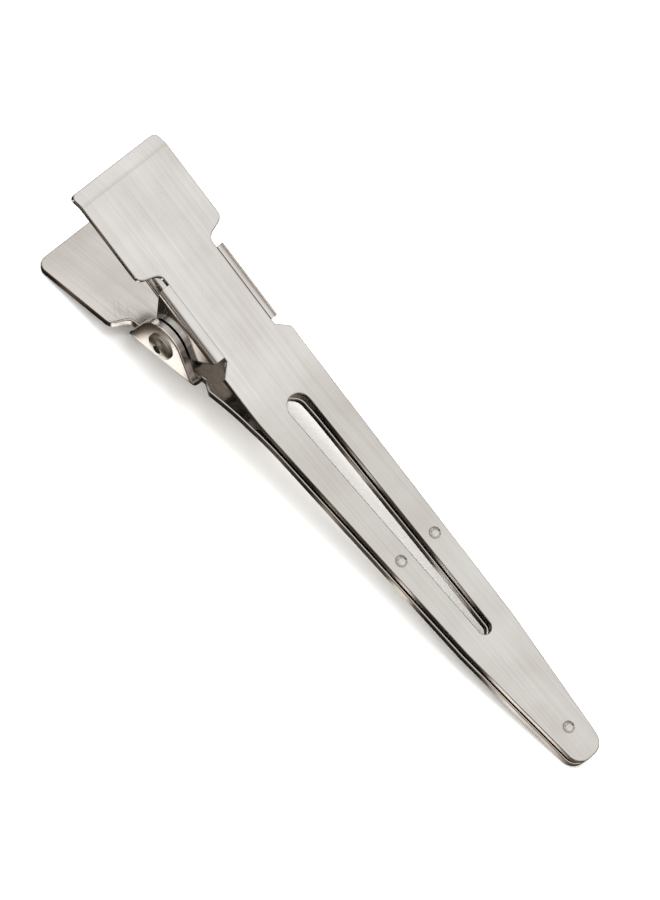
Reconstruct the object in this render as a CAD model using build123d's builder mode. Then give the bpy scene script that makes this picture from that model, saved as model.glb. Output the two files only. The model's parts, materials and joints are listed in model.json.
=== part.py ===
from build123d import *
import os
from math import asin, atan2, cos, degrees, radians, sin
from typing import NamedTuple

# A duckbill hair clip: two jaws stamped from sheet, turning on a rivet and held shut by a coil
# spring. Lengths are in millimetres and angles in degrees. The clip lies on z = 0 as it does on a
# table, on the end of its lower tab and the tip of its lower prong. The tabs point to -X and the
# prongs to +X. The origin is on the table under the middle of the clip.

# Sheet
sheet = 0.55
edge_round = 0.12

# Lengths of a jaw, measured along the metal from the pin
tab_length = 7.2
shoulder_length = 2.0
ear_back = 3.3
ear_front = 3.2
bend_from_pin = 8.9
prong_length = 33.6

# Widths of a jaw
tab_width = 8.5
root_width = 6.9
waist_width = 4.9
tip_width = 2.7
tip_radius = 1.2
relief_length = 0.35
relief_depth = 0.15
relief_slope = 0.9

# Long hole in each prong, from the bend towards the tip
slot_length = 22.1
slot_start_width = 2.0
slot_end_width = 1.1

# Punched dimples: pits outside, bumps inside
dimple_pair_from_bend = 14.1
tip_dimple_inset = 2.7
pit_width = 0.95
pit_depth = 0.26
bump_width = 1.0
bump_height = 0.15

# How the jaws are bent and lie together when the clip is shut
lower_bend = 23.5
lower_bend_radius = 15.0
upper_rise = 6.5
upper_bend_radius = 30.0
gap_at_bend = 0.52
gap_at_tip = 0.38
lip_length = 1.1
lip_angle = 24.0
lip_radius = 0.6
upper_tab_corner = 0.45
lower_tab_corner = 0.9

# Pin
pin_radius = 0.7
head_overhang = 0.4
head_rim = 0.12
head_height = 0.4
hollow_radius = 0.36
hollow_depth = 0.55
riveted_clearance = 0.02
running_clearance = 0.05
head_clearance = 0.02

# Ears
coil_side_gap = 0.41
ear_clearance = 0.1
inner_fold_inside = 0.15
outer_fold_inside = 0.35
dome_radius = 2.1

# Spring
wire = 0.7
coil_turns = 5
turn_gap = 0.04
coil_clearance = 0.1
lower_leg = 7.6
upper_leg = 8.4
leg_clearance = 0.06

# Sizes that follow from the ones above
tab_end = -(tab_length + shoulder_length + ear_back)
shoulder_start = -(shoulder_length + ear_back)
coil_radius = pin_radius + coil_clearance + wire / 2
coil_pitch = wire + turn_gap
lower_reach = coil_radius + wire / 2 + coil_clearance
inner_ear_radius = lower_reach - outer_fold_inside
head_radius = pin_radius + head_overhang
tip_dimple = prong_length - tip_dimple_inset
through = prong_length + bend_from_pin - tab_end


def heading(angle):
    """Unit vector in the clip's upright middle plane, at this angle above +X."""
    return Vector(cos(radians(angle)), 0, sin(radians(angle)))


# The lower jaw is an arch that stands on its two ends. Its tab rises towards the bend by
# lower_tilt, and its prong falls from there to the tip by prong_fall.
arch_rise = prong_length * sin(radians(lower_bend)) - sheet * (1 - cos(radians(lower_bend)))
arch_run = (bend_from_pin - tab_end + prong_length * cos(radians(lower_bend))
            - sheet * sin(radians(lower_bend)))
lower_tilt = degrees(atan2(arch_rise, arch_run))
prong_fall = lower_bend - lower_tilt
lower_along = heading(lower_tilt)
lower_out = heading(lower_tilt - 90)
lower_corner = lower_along * bend_from_pin + lower_out * lower_reach

# The upper jaw's bend lies over the lower one's, and its prong closes on the lower prong.
closing = degrees(atan2(gap_at_bend - gap_at_tip, tip_dimple))
upper_tilt = -prong_fall - upper_rise
upper_bend = upper_rise - closing
upper_along = heading(upper_tilt)
upper_out = heading(upper_tilt + 90)
upper_corner = lower_corner + heading(90 - prong_fall) * gap_at_bend
upper_reach = upper_corner.dot(upper_out)

# The pin stands over the table by what the lower tab's end leaves, and the clip is centred in X.
pin_height = -(lower_along * tab_end + lower_out * (lower_reach + sheet)).Z
back_end = (lower_along * tab_end + lower_out * lower_reach).X
front_end = (upper_corner + heading(-prong_fall - closing) * prong_length
             + heading(90 - prong_fall - closing) * sheet).X
pin_centre = Vector(-(back_end + front_end) / 2, 0, pin_height)

# The spring's upper leg rises to the upper tab, which sets how far the wire winds round the pin. The
# inner ears stand beside the coil, and the outer ears beside those.
leg_rise = degrees(asin((upper_reach - wire / 2 - leg_clearance - coil_radius) / upper_leg))
coil_angle = 360 * coil_turns + 180 + upper_tilt - leg_rise - lower_tilt
coil_length = coil_pitch * coil_angle / 360
inner_ear_span = coil_length + wire + 2 * (coil_side_gap + sheet)
outer_ear_span = inner_ear_span + 2 * (ear_clearance + sheet)


class Jaw(NamedTuple):
    """One jaw's own frame and sizes: along runs to the tip, and out points away from the pin."""

    along: Vector
    out: Vector
    reach: float
    bend_at: float
    bend: float
    bend_radius: float
    lip: float
    tab_corner: float
    ear_span: float
    fold_radius: float
    ear_radius: float
    bore_radius: float
    rounded: list


lower = Jaw(lower_along, lower_out, lower_reach, bend_from_pin, lower_bend, lower_bend_radius,
            0.0, lower_tab_corner, outer_ear_span, outer_fold_inside + sheet, dome_radius,
            pin_radius + riveted_clearance, [-lower_out])
upper = Jaw(upper_along, upper_out, upper_reach, upper_corner.dot(upper_along), upper_bend,
            upper_bend_radius, lip_angle, upper_tab_corner, inner_ear_span, inner_fold_inside + sheet,
            inner_ear_radius, pin_radius + running_clearance, [upper_out, -upper_out])


def side_plane(jaw):
    """Plane across the pin: x along the tab, y outwards."""
    return Plane(pin_centre, x_dir=jaw.along, z_dir=jaw.along.cross(jaw.out))


def tab_plane(jaw):
    """The tab's outer face, with its origin over the pin."""
    return Plane(pin_centre + jaw.out * (jaw.reach + sheet), x_dir=jaw.along, z_dir=jaw.out)


def prong_plane(jaw):
    """The prong's outer face, with its origin at the bend."""
    along = jaw.along * cos(radians(jaw.bend)) + jaw.out * sin(radians(jaw.bend))
    out = jaw.out * cos(radians(jaw.bend)) - jaw.along * sin(radians(jaw.bend))
    corner = pin_centre + jaw.along * jaw.bend_at + jaw.out * jaw.reach
    return Plane(corner + out * sheet, x_dir=along, z_dir=out)


def rail_middle(station):
    """Half-way between the slot and the prong's edge, at a distance from the bend."""
    share = station / slot_length
    edge = root_width + (waist_width - root_width) * share
    slot = slot_start_width + (slot_end_width - slot_start_width) * share
    return (edge + slot) / 4


def left_of(points, distance):
    """Corners of the same bent line, moved to its left by a distance."""
    points = [Vector(*point) for point in points]
    normals = [(b - a).normalized().rotate(Axis.Z, 90) for a, b in zip(points, points[1:])]
    corners = [points[0] + normals[0] * distance]
    for point, before, after in zip(points[1:], normals, normals[1:]):
        corners.append(point + (before + after) * (distance / (1 + before.dot(after))))
    return corners + [points[-1] + normals[-1] * distance]


def neck_half_width(jaw):
    """Flat metal from the middle to the notches at the ends of a fold."""
    return jaw.ear_span / 2 - jaw.fold_radius - relief_depth


def rim(part, looking):
    """Edges where a face that looks this way meets one that turns well away from it."""
    looks_this_way = 0.8
    turns_away = 0.6
    edges = ShapeList()
    for edge in part.edges():
        facing = [face.normal_at(edge @ 0.5).dot(looking) for face in part.faces() if edge in face.edges()]
        if max(facing) > looks_this_way and min(facing) < turns_away:
            edges.append(edge)
    return edges


def stamped_blank(jaw):
    """Bent strip trimmed to the jaw's outline, with its slot and dimples but not its ears."""
    neck = neck_half_width(jaw)
    lip_start = tab_end + lip_length
    lip_end = (lip_start - lip_length * cos(radians(jaw.lip)),
               jaw.reach - lip_length * sin(radians(jaw.lip)))
    tip = (jaw.bend_at + prong_length * cos(radians(jaw.bend)),
           jaw.reach + prong_length * sin(radians(jaw.bend)))
    inside = [(tab_end, jaw.reach), (jaw.bend_at, jaw.reach), tip]
    inside_radii = [jaw.bend_radius]
    outside_radii = [jaw.bend_radius - sheet]
    if jaw.lip:
        inside = [lip_end, (lip_start, jaw.reach)] + inside[1:]
        inside_radii = [lip_radius] + inside_radii
        outside_radii = [lip_radius + sheet] + outside_radii
    dimples = [(tip_dimple, 0)] + [(dimple_pair_from_bend, side * rail_middle(dimple_pair_from_bend))
                                   for side in (-1, 1)]
    pit_radius = (pit_width ** 2 / 4 + pit_depth ** 2) / (2 * pit_depth)
    bump_radius = (bump_width ** 2 / 4 + bump_height ** 2) / (2 * bump_height)
    cap = -degrees(asin((bump_radius - bump_height) / bump_radius))

    with BuildPart() as blank:
        with BuildSketch(side_plane(jaw)):
            with BuildLine():
                inner_face = FilletPolyline(*inside, radius=inside_radii)
                outer_face = FilletPolyline(*left_of(inside, sheet), radius=outside_radii)
                Line(inner_face @ 0, outer_face @ 0)
                Line(inner_face @ 1, outer_face @ 1)
            make_face()
        extrude(amount=tab_width, both=True)

        # Tab, shoulders and neck, seen square to the tab
        with BuildSketch(tab_plane(jaw)) as tab_outline:
            with BuildLine():
                Polyline((tab_end, 0), (tab_end, tab_width / 2), (shoulder_start, tab_width / 2))
                Spline((shoulder_start, tab_width / 2), (-ear_back - relief_length, neck),
                       tangents=((1, 0), (1, 0)))
                Polyline((-ear_back - relief_length, neck), (ear_front + relief_length, neck),
                         (ear_front + relief_length + relief_slope, root_width / 2),
                         (jaw.bend_at + relief_slope, root_width / 2),
                         (jaw.bend_at + relief_slope, through), (through, through), (through, 0))
                mirror(about=Plane.XZ)
            make_face()
            fillet(tab_outline.vertices().group_by(Axis.X)[0], jaw.tab_corner)
        extrude(amount=through, both=True, mode=Mode.INTERSECT)

        # Prong, seen square to the prong
        with BuildSketch(prong_plane(jaw)) as prong_outline:
            with BuildLine():
                Polyline((-through, 0), (-through, through), (-relief_slope, through),
                         (-relief_slope, root_width / 2), (0, root_width / 2),
                         (slot_length, waist_width / 2), (prong_length, tip_width / 2),
                         (prong_length, 0))
                mirror(about=Plane.XZ)
            make_face()
            fillet(prong_outline.vertices().group_by(Axis.X)[-1], tip_radius)
        extrude(amount=through, both=True, mode=Mode.INTERSECT)

        with BuildSketch(prong_plane(jaw)):
            with Locations((slot_start_width / 2, 0)):
                Circle(slot_start_width / 2)
            with Locations((slot_length - slot_end_width / 2, 0)):
                Circle(slot_end_width / 2)
            make_hull()
        extrude(amount=through, both=True, mode=Mode.SUBTRACT)

        with Locations(prong_plane(jaw)):
            with Locations(*[(x, y, -sheet + bump_radius - bump_height) for x, y in dimples]):
                Sphere(bump_radius, arc_size1=-90, arc_size2=cap, align=None)
            with Locations(*[(x, y, pit_radius - pit_depth) for x, y in dimples]):
                Sphere(pit_radius, mode=Mode.SUBTRACT)

        # Tumbling leaves the rims round, but for those on the lower jaw's underside, which it stands on.
        # The neck's sides stay square, because the ears go on there.
        for looking in jaw.rounded:
            rims = rim(blank, looking)
            neck_sides = rims.filter_by(lambda edge: abs(abs((edge @ 0.5).Y) - neck) < relief_depth / 2
                                        and edge.length > ear_back + ear_front)
            fillet(rims - neck_sides, edge_round)
    return blank.part


def folded_ears(jaw):
    """Two ears with their folds, from the neck's sides down, trimmed to shape and bored for the pin."""
    depth = jaw.reach + sheet + jaw.ear_radius
    outside = [(neck_half_width(jaw), 0), (jaw.ear_span / 2, 0), (jaw.ear_span / 2, -depth)]
    edge_of_ear = (jaw.ear_span - sheet) / 2
    section = Plane(pin_centre + jaw.out * (jaw.reach + sheet) - jaw.along * ear_back,
                    x_dir=jaw.out.cross(jaw.along), z_dir=jaw.along)
    with BuildPart() as ears:
        with BuildSketch(section):
            with BuildLine():
                outer_face = FilletPolyline(*outside, radius=jaw.fold_radius)
                inner_face = FilletPolyline(*left_of(outside, -sheet), radius=jaw.fold_radius - sheet)
                Line(outer_face @ 0, inner_face @ 0)
                Line(outer_face @ 1, inner_face @ 1)
            make_face()
            mirror(about=Plane.YZ)
        extrude(amount=ear_back + ear_front)
        with BuildSketch(side_plane(jaw)):
            Circle(jaw.ear_radius)
            with Locations(((ear_front - ear_back) / 2, jaw.reach + sheet / 2)):
                Rectangle(ear_back + ear_front, sheet)
            make_hull()
        extrude(amount=jaw.ear_span, both=True, mode=Mode.INTERSECT)
        with Locations(side_plane(jaw)):
            Cylinder(jaw.bore_radius, 2 * jaw.ear_span, mode=Mode.SUBTRACT)
        outlines = ShapeList()
        for side in (-1, 1):
            side_rim = rim(ears, Vector(0, side, 0))
            outlines += side_rim.filter_by(lambda edge: (edge @ 0.5).Y * side > edge_of_ear)
        fillet(outlines, edge_round)
    return ears.part


with BuildPart() as lower_jaw:
    add(stamped_blank(lower))
    add(folded_ears(lower))

with BuildPart() as upper_jaw:
    add(stamped_blank(upper))
    add(folded_ears(upper))

# Rivet: a shaft with a domed head at each end, and a small round hollow in each head
with BuildPart() as pivot_pin:
    head_base = outer_ear_span / 2 + head_clearance
    head_top = head_base + head_height
    with BuildSketch(Plane(pin_centre, x_dir=(1, 0, 0), z_dir=(0, 0, 1))):
        with BuildLine():
            Polyline((0, 0), (pin_radius, 0), (pin_radius, head_base), (head_radius, head_base),
                     (head_radius, head_base + head_rim))
            ThreePointArc((head_radius, head_base + head_rim),
                          ((head_radius * 2 + hollow_radius) / 3, head_top - head_rim),
                          (hollow_radius, head_top))
            Polyline((hollow_radius, head_top), (hollow_radius, head_top - hollow_depth),
                     (0, head_top - hollow_depth), (0, 0))
        make_face()
    revolve(axis=Axis(pin_centre, (0, 1, 0)))
    mirror(about=Plane.XZ)

# Coil spring on the pin. The wire comes along the lower tab, winds round the pin and leaves along
# the upper tab, so each leg is tangent to the coil.
coil_start = Plane(pin_centre + Vector(0, coil_length / 2, 0), x_dir=lower_out, z_dir=(0, -1, 0))
coil_path = coil_start.location * Helix(pitch=coil_pitch, height=coil_length, radius=coil_radius)
with BuildPart() as spring:
    with BuildSketch(Plane(coil_path @ 0, z_dir=coil_path % 0)):
        Circle(wire / 2)
    sweep(path=coil_path, is_frenet=True)
    wire_ends = spring.faces().filter_by(GeomType.PLANE).sort_by(Axis.Y)
    extrude(wire_ends[0], amount=upper_leg)
    extrude(wire_ends[-1], amount=lower_leg)

lower_jaw.part.label = "lower_jaw"
upper_jaw.part.label = "upper_jaw"
pivot_pin.part.label = "pivot_pin"
spring.part.label = "spring"

os.makedirs("parts", exist_ok=True)
export_step(lower_jaw.part, "parts/lower_jaw.step")
export_step(upper_jaw.part, "parts/upper_jaw.step")
export_step(pivot_pin.part, "parts/pivot_pin.step")
export_step(spring.part, "parts/spring.step")
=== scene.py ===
import json
import math

import bmesh
import bpy
from mathutils import Matrix, Quaternion, Vector


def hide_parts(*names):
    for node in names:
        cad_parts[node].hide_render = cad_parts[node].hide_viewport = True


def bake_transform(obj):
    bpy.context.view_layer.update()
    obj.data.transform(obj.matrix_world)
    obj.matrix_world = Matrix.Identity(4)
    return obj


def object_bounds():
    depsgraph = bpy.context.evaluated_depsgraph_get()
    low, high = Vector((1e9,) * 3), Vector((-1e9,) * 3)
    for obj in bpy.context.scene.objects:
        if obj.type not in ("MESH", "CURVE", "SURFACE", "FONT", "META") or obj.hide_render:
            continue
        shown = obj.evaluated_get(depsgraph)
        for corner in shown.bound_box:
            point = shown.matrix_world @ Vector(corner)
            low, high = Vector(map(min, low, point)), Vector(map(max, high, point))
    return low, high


# Duckbill hair clip: finishes for the CAD part's jaws and rivet, and a smooth wire in place of its spring
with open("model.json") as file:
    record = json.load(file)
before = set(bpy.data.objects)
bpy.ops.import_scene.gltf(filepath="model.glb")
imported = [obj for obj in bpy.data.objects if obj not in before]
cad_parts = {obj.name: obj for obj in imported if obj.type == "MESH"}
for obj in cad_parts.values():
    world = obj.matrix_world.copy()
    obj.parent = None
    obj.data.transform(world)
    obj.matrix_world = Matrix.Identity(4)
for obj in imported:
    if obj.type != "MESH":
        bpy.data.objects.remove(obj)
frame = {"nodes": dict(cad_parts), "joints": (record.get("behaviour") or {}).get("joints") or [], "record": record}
cad_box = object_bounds()

MM = 0.001

# The rivet's middle, and the way each face of the jaws looks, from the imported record
pin = Vector(frame["joints"][0]["pos_m"])
facing = {mount["name"]: Vector(mount["axis"]) for mount in frame["record"]["mounts"]}
across = Vector((0, 1, 0))


# Nodes

def linear(code):
    """sRGB hex colour as linear values with alpha."""
    parts = [int(code[i:i + 2], 16) / 255 for i in (1, 3, 5)]
    return [c / 12.92 if c <= 0.04045 else ((c + 0.055) / 1.055) ** 2.4 for c in parts] + [1.0]


def feed(made, socket, value):
    """Give a socket a value, another node's first output, or the output that is given."""
    if isinstance(value, bpy.types.Node):
        value = value.outputs[0]
    if isinstance(value, bpy.types.NodeSocket):
        made.node_tree.links.new(value, socket)
    else:
        socket.default_value = value


def add(made, kind, settings=None, stops=(), **inputs):
    """One node of a material or world, with its settings, the stops of a colour ramp, and its inputs. An
    input is named, or numbered as in _0."""
    node = made.node_tree.nodes.new(kind)
    for key, value in (settings or {}).items():
        setattr(node, key, value)
    if stops:
        while len(node.color_ramp.elements) < len(stops):
            node.color_ramp.elements.new(0.5)
        for element, (place, code) in zip(node.color_ramp.elements, stops):
            element.position = place
            element.color = linear(code)
    for key, value in inputs.items():
        socket = node.inputs[int(key[1:])] if key[0] == "_" else node.inputs[key.replace("_", " ")]
        feed(made, socket, value)
    return node


def new_material(name):
    made = bpy.data.materials.new(name)
    made.use_nodes = True
    return made


def finish_with(made, **inputs):
    """Inputs of a material's own shader."""
    shader = made.node_tree.nodes["Principled BSDF"]
    for key, value in inputs.items():
        feed(made, shader.inputs[key.replace("_", " ")], value)


def uneven(made, lines, cloud, cloudy, spread, colours, dullness):
    """A metal's colour and roughness, mixed from its lines and its cloudy patches. The patches have the
    share cloudy. The two colours and the two roughnesses are reached at the ends of the spread."""
    low, high = spread
    mixed = add(made, "ShaderNodeMix", Factor=cloudy, _2=lines, _3=cloud)
    colour = add(made, "ShaderNodeValToRGB", stops=list(zip(spread, colours)), Fac=mixed)
    rough = add(made, "ShaderNodeMapRange", Value=mixed, From_Min=low, From_Max=high, To_Min=dullness[0],
                To_Max=dullness[1])
    return colour, rough


# Nickel plate. Its lines and scratches are finer on the real clip, and are drawn coarser here, to show.
line_length, line_spacing, line_depth = 14 * MM, 0.16 * MM, 0.0008 * MM
scratch_length, scratch_width = 3 * MM, 0.05 * MM
scratch_patch = 4 * MM
scratch_turns = 0.35, -0.7  # radians
scratch_dullness = 0.12
plate_cloud = 5 * MM
wave_size, wave_depth = 6 * MM, 0.035 * MM


def rolling_lines(made, place, tilt):
    """Lines along the strip that a jaw is cut from, on its faces and on the ears folded from its sides. A
    normal's Y is 0 on a face and 1 or -1 on an ear."""
    half_folded = 0.7
    along_face = add(made, "ShaderNodeMapping", {"vector_type": "TEXTURE"}, Vector=place,
                     Scale=(line_length, line_spacing, line_length))
    along_ear = add(made, "ShaderNodeMapping", {"vector_type": "TEXTURE"}, Vector=place,
                    Rotation=(0, tilt, 0), Scale=(line_length, line_length, line_spacing))
    on_face = add(made, "ShaderNodeTexNoise", Vector=along_face, Scale=1, Detail=2)
    on_ear = add(made, "ShaderNodeTexNoise", Vector=along_ear, Scale=1, Detail=2)
    normal = add(made, "ShaderNodeNewGeometry").outputs["Normal"]
    sideways = add(made, "ShaderNodeSeparateXYZ", Vector=normal).outputs["Y"]
    is_face = add(made, "ShaderNodeMath", {"operation": "COMPARE"}, _0=sideways, _1=0.0, _2=half_folded)
    return add(made, "ShaderNodeMix", Factor=is_face, _2=on_ear, _3=on_face)


def hairlines(made, place, turn):
    """Thin straight scratches, all one way and in a few places only: the peaks of a noise drawn out long,
    within the higher parts of a coarse one. 1 in a scratch, 0 beside it."""
    along = add(made, "ShaderNodeMapping", {"vector_type": "TEXTURE"}, Vector=place,
                Rotation=(0, 0, turn), Scale=(scratch_length, scratch_width, scratch_length))
    streaks = add(made, "ShaderNodeTexNoise", Vector=along, Scale=1, Detail=0)
    patches = add(made, "ShaderNodeTexNoise", Vector=place, Scale=1 / scratch_patch, Detail=0)
    thin = add(made, "ShaderNodeMapRange", Value=streaks, From_Min=0.70, From_Max=0.76)
    few = add(made, "ShaderNodeMapRange", Value=patches, From_Min=0.52, From_Max=0.62)
    return add(made, "ShaderNodeMath", {"operation": "MULTIPLY"}, _0=thin, _1=few)


def nickel_plate(name, tilt, dark, light):
    """Bright nickel plate on pressed steel strip. Smooth and mirror-like, with the strip's faint rolling
    lines along the jaw, a waviness that bends what it mirrors, cloudy patches that are a little duller
    and darker, and a few hairline scratches from rubbing in use."""
    made = new_material(name)
    place = add(made, "ShaderNodeTexCoord").outputs["Object"]
    lines = rolling_lines(made, place, tilt)
    cloud = add(made, "ShaderNodeTexNoise", Vector=place, Scale=1 / plate_cloud, Detail=3)
    colour, unscratched = uneven(made, lines, cloud, cloudy=0.6, spread=(0.36, 0.64), colours=(dark, light),
                                 dullness=(0.19, 0.10))
    one_way, other_way = [hairlines(made, place, turn) for turn in scratch_turns]
    scratches = add(made, "ShaderNodeMath", {"operation": "MAXIMUM"}, _0=one_way, _1=other_way)
    dullness = add(made, "ShaderNodeMath", {"operation": "MULTIPLY_ADD"}, _0=scratches, _1=scratch_dullness,
                   _2=unscratched)
    waves = add(made, "ShaderNodeTexNoise", Vector=place, Scale=1 / wave_size, Detail=1)
    wavy = add(made, "ShaderNodeBump", Strength=1, Distance=wave_depth, Height=waves)
    lined = add(made, "ShaderNodeBump", Strength=1, Distance=line_depth, Height=lines, Normal=wavy)
    finish_with(made, Metallic=1.0, Base_Color=colour, Roughness=dullness, Normal=lined)
    return made


# Rivet
ring_spacing, ring_depth = 0.09 * MM, 0.003 * MM
rivet_cloud = 0.6 * MM


def headed_rivet(name):
    """Nickel plate on a rivet whose head was spun over: fine rings round its axis, a little uneven, and
    duller than the strip."""
    made = new_material(name)
    place = add(made, "ShaderNodeTexCoord").outputs["Object"]
    centred = add(made, "ShaderNodeMapping", Vector=place, Scale=(1, 0, 1), Location=(-pin.x, 0, -pin.z))
    radius = add(made, "ShaderNodeVectorMath", {"operation": "LENGTH"}, _0=centred).outputs["Value"]
    rings = add(made, "ShaderNodeTexNoise", {"noise_dimensions": "1D"}, W=radius, Scale=1 / ring_spacing,
                Detail=1)
    cloud = add(made, "ShaderNodeTexNoise", Vector=place, Scale=1 / rivet_cloud, Detail=2)
    colour, dullness = uneven(made, rings, cloud, cloudy=0.5, spread=(0.38, 0.62),
                              colours=("#b1aba3", "#cac8c4"), dullness=(0.36, 0.26))
    ringed = add(made, "ShaderNodeBump", Strength=1, Distance=ring_depth, Height=rings)
    finish_with(made, Metallic=1.0, Base_Color=colour, Roughness=dullness, Normal=ringed)
    return made


def tilt_of(upwards):
    """How far a tab is tilted about the rivet, from the way that its upper side looks."""
    return math.atan2(upwards.x, upwards.z)


upper_tilt = tilt_of(facing["upper_tab_face"])
lower_tilt = tilt_of(-facing["lower_tab_face"])
finishes = {
    "upper_jaw": nickel_plate("bright_nickel_plate_upper", upper_tilt, "#c2bebb", "#d0cfcd"),
    # The lower jaw's colours are a little darker than the upper jaw's: painted shade on the same nickel plate
    "lower_jaw": nickel_plate("bright_nickel_plate_lower_painted_shade", lower_tilt, "#bcb8b3", "#cfccc9"),
    "pivot_pin": headed_rivet("bright_nickel_plate_rivet"),
}
for name, finish in finishes.items():
    for slot in frame["nodes"][name].material_slots:
        slot.material = finish


# Coil spring. The wire runs along the lower tab, winds round the rivet and leaves along the upper tab.
wire_radius = 0.35 * MM
coil_radius = 1.15 * MM
coil_pitch = 0.74 * MM
coil_turns = 5.378
lower_leg, upper_leg = 7.6 * MM, 8.4 * MM
crop_round = 0.08 * MM
steps_a_turn = 48
wire_sides = 20
wire_line_spacing, wire_line_depth = 0.04 * MM, 0.004 * MM
wire_cloud = 1.5 * MM


def drawn_wire(name):
    """Steel spring wire, plated after it was drawn: fine lines along the wire, duller than the strip."""
    made = new_material(name)
    on_wire = add(made, "ShaderNodeAttribute", {"attribute_name": "round_wire"}).outputs["Vector"]
    place = add(made, "ShaderNodeTexCoord").outputs["Object"]
    lines = add(made, "ShaderNodeTexNoise", Vector=on_wire, Scale=wire_radius / wire_line_spacing, Detail=2)
    cloud = add(made, "ShaderNodeTexNoise", Vector=place, Scale=1 / wire_cloud, Detail=2)
    colour, dullness = uneven(made, lines, cloud, cloudy=0.45, spread=(0.36, 0.64),
                              colours=("#9a938b", "#c3bfba"), dullness=(0.32, 0.17))
    lined = add(made, "ShaderNodeBump", Strength=1, Distance=wire_line_depth, Height=lines)
    finish_with(made, Metallic=1.0, Base_Color=colour, Roughness=dullness, Normal=lined)
    return made


def draw_out(form, ring, way):
    """Draw a ring of edges out straight, and return the ring at the new end."""
    drawn = bmesh.ops.extrude_edge_only(form, edges=ring)["geom"]
    bmesh.ops.translate(form, verts=[v for v in drawn if isinstance(v, bmesh.types.BMVert)], vec=way)
    return [e for e in drawn if isinstance(e, bmesh.types.BMEdge)]


def wire_spring():
    """One bent wire: a ring drawn out along the first leg, spun round the rivet, and drawn out again. Its
    round_wire layer holds each vertex's place on the ring, for lines that follow the wire."""
    coil_length = coil_pitch * coil_turns
    coil_angle = 2 * math.pi * coil_turns
    out = facing["lower_tab_face"]
    first = pin + out * coil_radius + across * coil_length / 2
    forwards = out.cross(across)
    lead = -across * coil_pitch / (2 * math.pi * coil_radius)
    start_way = (forwards + lead).normalized()
    end_way = (Quaternion(-across, coil_angle) @ forwards + lead).normalized()
    along_leg = start_way.to_track_quat("Z", "Y").to_matrix().to_4x4()

    form = bmesh.new()
    round_wire = form.verts.layers.float_vector.new("round_wire")
    bmesh.ops.create_circle(form, cap_ends=False, segments=wire_sides, radius=wire_radius)
    for vertex in form.verts:
        vertex[round_wire] = vertex.co / wire_radius
    leg_end = Matrix.Translation(first - start_way * lower_leg) @ along_leg
    bmesh.ops.transform(form, matrix=leg_end, verts=form.verts)
    ring = draw_out(form, form.edges[:], start_way * lower_leg)
    steps = round(steps_a_turn * coil_turns)
    wound = bmesh.ops.spin(form, geom=ring, cent=pin, axis=-across, dvec=-across * coil_length / steps,
                           angle=coil_angle, steps=steps, use_duplicate=False)["geom_last"]
    ring = [e for e in wound if isinstance(e, bmesh.types.BMEdge)]
    draw_out(form, ring, end_way * upper_leg)
    bmesh.ops.remove_doubles(form, verts=form.verts, dist=0.001 * MM)
    rims = [edge for edge in form.edges if edge.is_boundary]
    bmesh.ops.holes_fill(form, edges=rims, sides=0)
    bmesh.ops.bevel(form, geom=rims, offset=crop_round, offset_type="OFFSET", segments=2, profile=0.5,
                    affect="EDGES", material=-1)
    bmesh.ops.recalc_face_normals(form, faces=form.faces)
    return form


def finished(name, form, finish, smooth=True):
    """An object from a finished bmesh, with its material."""
    mesh = bpy.data.meshes.new(name)
    form.to_mesh(mesh)
    form.free()
    mesh.polygons.foreach_set("use_smooth", [smooth] * len(mesh.polygons))
    mesh.materials.append(finish)
    made = bpy.data.objects.new(name, mesh)
    bpy.context.scene.collection.objects.link(made)
    return made


spring = finished("coil_spring", wire_spring(), drawn_wire("drawn_spring_wire"))
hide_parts("spring")
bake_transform(spring)


# Floor: white paper, evenly pale to the camera. For glossy rays it shows a painted reflection instead: dark and
# pale patches that the plate mirrors, paler by the rivet.
floor_reach = 3.0
paper_fibre = 0.5 * MM
# Painted reflection: the size of its patches, and where and how much it is paler
painted_reflection_patch_size = 7 * MM
by_rivet = (pin.x - 0.5 * MM, -5.2 * MM, 0)
rivet_pale_to, rivet_dark_from = 1.8 * MM, 3.4 * MM
behind_dark_to, behind_pale_from = 14 * MM, 18 * MM
paler_by_rivet, paler_behind = 0.28, 0.12


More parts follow.
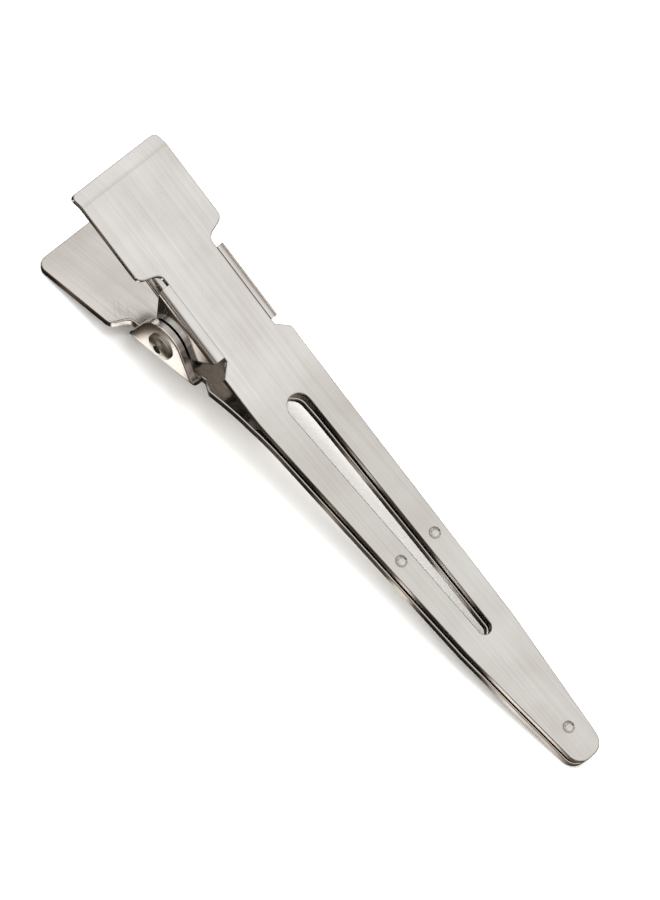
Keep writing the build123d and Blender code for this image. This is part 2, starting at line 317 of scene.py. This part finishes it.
def paper_with_painted_reflections(name):
    """Uncoated white paper: matt, with faint fibres. For glossy rays only it is painted with a reflection for the
    plate to mirror: dark and pale patches, paler by the rivet and well behind the clip."""
    made = new_material(name)
    place = add(made, "ShaderNodeTexCoord").outputs["Object"]
    # Painted reflection, paler near the rivet so that the ears beside it mirror light, and paler well behind the
    # clip
    from_rivet = add(made, "ShaderNodeVectorMath", {"operation": "DISTANCE"}, _0=place, _1=by_rivet)
    near_rivet = add(made, "ShaderNodeMapRange", Value=from_rivet.outputs["Value"], From_Min=rivet_pale_to,
                     From_Max=rivet_dark_from, To_Min=paler_by_rivet, To_Max=0.0)
    from_middle = add(made, "ShaderNodeSeparateXYZ", Vector=place).outputs["Y"]
    behind = add(made, "ShaderNodeMapRange", Value=from_middle, From_Min=behind_dark_to,
                 From_Max=behind_pale_from, To_Max=paler_behind)
    paler = add(made, "ShaderNodeMath", _0=behind, _1=near_rivet)
    blotch_noise = add(made, "ShaderNodeTexNoise", Vector=place, Scale=1 / painted_reflection_patch_size, Detail=1.5)
    patches = add(made, "ShaderNodeMath", _0=blotch_noise, _1=paler)
    mirrored = add(made, "ShaderNodeValToRGB", Fac=patches,
                   stops=[(0.48, "#120e0b"), (0.58, "#4d4339"), (0.66, "#bfb6ac"), (0.74, "#efebe6")])
    # Only glossy rays see the painted reflection; all other rays see the even pale paper
    in_mirror = add(made, "ShaderNodeLightPath").outputs["Is Glossy Ray"]
    colour = add(made, "ShaderNodeMix", {"data_type": "RGBA"}, _0=in_mirror, _6=linear("#d6d5d3"),
                 _7=mirrored)
    fibres = add(made, "ShaderNodeTexNoise", Vector=place, Scale=1 / paper_fibre, Detail=1)
    dullness = add(made, "ShaderNodeMapRange", Value=fibres, To_Min=0.88, To_Max=0.92)
    finish_with(made, Base_Color=colour.outputs[2], Roughness=dullness)
    return made


form = bmesh.new()
bmesh.ops.create_grid(form, x_segments=1, y_segments=1, size=floor_reach)
paper = paper_with_painted_reflections("paper_with_painted_reflections")
finished("floor", form, paper, smooth=False)


# Camera: from the near side and high up, turned about its own line of sight so the clip fills the image
azimuth, elevation, roll = math.radians(19), math.radians(62), math.radians(-29)
distance = 0.358
aside = Vector((-1.3 * MM, 0.8 * MM, 0))
camera_data = bpy.data.cameras.new("camera")
camera_data.lens = 200
camera_data.clip_start = 0.01
camera = bpy.data.objects.new("camera", camera_data)
bpy.context.scene.collection.objects.link(camera)
towards = Vector((math.sin(azimuth) * math.cos(elevation), -math.cos(azimuth) * math.cos(elevation),
                  math.sin(elevation)))
turn = (-towards).to_track_quat("-Z", "Y") @ Quaternion((0, 0, 1), -roll)
aim = (cad_box[0] + cad_box[1]) / 2 + turn @ aside
camera.location = aim + towards * distance
camera.rotation_mode = "QUATERNION"
camera.rotation_quaternion = turn
bpy.context.scene.camera = camera
bpy.context.scene.view_settings.view_transform = "Standard"


# Light: a bright ceiling in faint broad bands, over a room that is dim on the near side
room_strength = 1.39
dim_to, lit_from = -0.55, 0.10
room_to, ceiling_from = 0.28, 0.64


def studio(name):
    """World that lights the paper and is mirrored in the plate. A direction's Y is -1 on the near side,
    where the camera is, and its Z is 1 straight up."""
    world = bpy.data.worlds.new(name)
    world.use_nodes = True
    way = add(world, "ShaderNodeTexCoord").outputs["Generated"]
    parts = add(world, "ShaderNodeSeparateXYZ", Vector=way).outputs
    blotch_noise = add(world, "ShaderNodeTexNoise", Vector=way, Scale=2.2, Detail=1)
    dim = add(world, "ShaderNodeValToRGB", Fac=blotch_noise,
              stops=[(0.42, "#14110f"), (0.54, "#4c4540"), (0.64, "#ccc5bd")])
    lit = add(world, "ShaderNodeValToRGB", Fac=blotch_noise,
              stops=[(0.36, "#8d857d"), (0.50, "#d2ccc5"), (0.60, "#f3f1ee")])
    near_side = add(world, "ShaderNodeMapRange", Value=parts["Y"], From_Min=dim_to, From_Max=lit_from,
                    To_Min=1, To_Max=0)
    room = add(world, "ShaderNodeMix", {"data_type": "RGBA"}, _0=near_side, _6=lit, _7=dim)
    over = add(world, "ShaderNodeValToRGB", Fac=parts["Z"],
               stops=[(0.50, "#b9b5b0"), (0.70, "#edebe9"), (0.85, "#f4f3f1")])
    along_clip = add(world, "ShaderNodeMapRange", Value=parts["X"], From_Min=-1)
    bands = add(world, "ShaderNodeValToRGB", Fac=along_clip,
                stops=[(0.30, "#ffffff"), (0.56, "#e9e8e6"), (0.66, "#ffffff"), (0.90, "#e4e2e0")])
    ceiling = add(world, "ShaderNodeVectorMath", {"operation": "MULTIPLY"}, _0=over, _1=bands)
    high = add(world, "ShaderNodeMapRange", Value=parts["Z"], From_Min=room_to, From_Max=ceiling_from)
    light = add(world, "ShaderNodeMix", {"data_type": "RGBA"}, _0=high, _6=room.outputs[2], _7=ceiling)
    background = world.node_tree.nodes["Background"]
    feed(world, background.inputs["Color"], light.outputs[2])
    feed(world, background.inputs["Strength"], room_strength)
    return world


def soft_box(name, place, side=0.5, power=4.4):
    """Square lamp, in metres and watts, that looks at the clip. The plate doesn't mirror it."""
    data = bpy.data.lights.new(name, "AREA")
    data.size = side
    data.energy = power
    lamp = bpy.data.objects.new(name, data)
    bpy.context.scene.collection.objects.link(lamp)
    lamp.location = place
    lamp.rotation_mode = "QUATERNION"
    lamp.rotation_quaternion = (aim - Vector(place)).to_track_quat("-Z", "Y")
    lamp.visible_glossy = False


bpy.context.scene.world = studio("studio")
soft_box("left", (-0.55, -0.15, 0.55))
soft_box("right", (0.50, -0.30, 0.55))
soft_box("back", (0.05, 0.60, 0.55))
soft_box("overhead", (0, 0, 0.8), side=0.3, power=4.0)
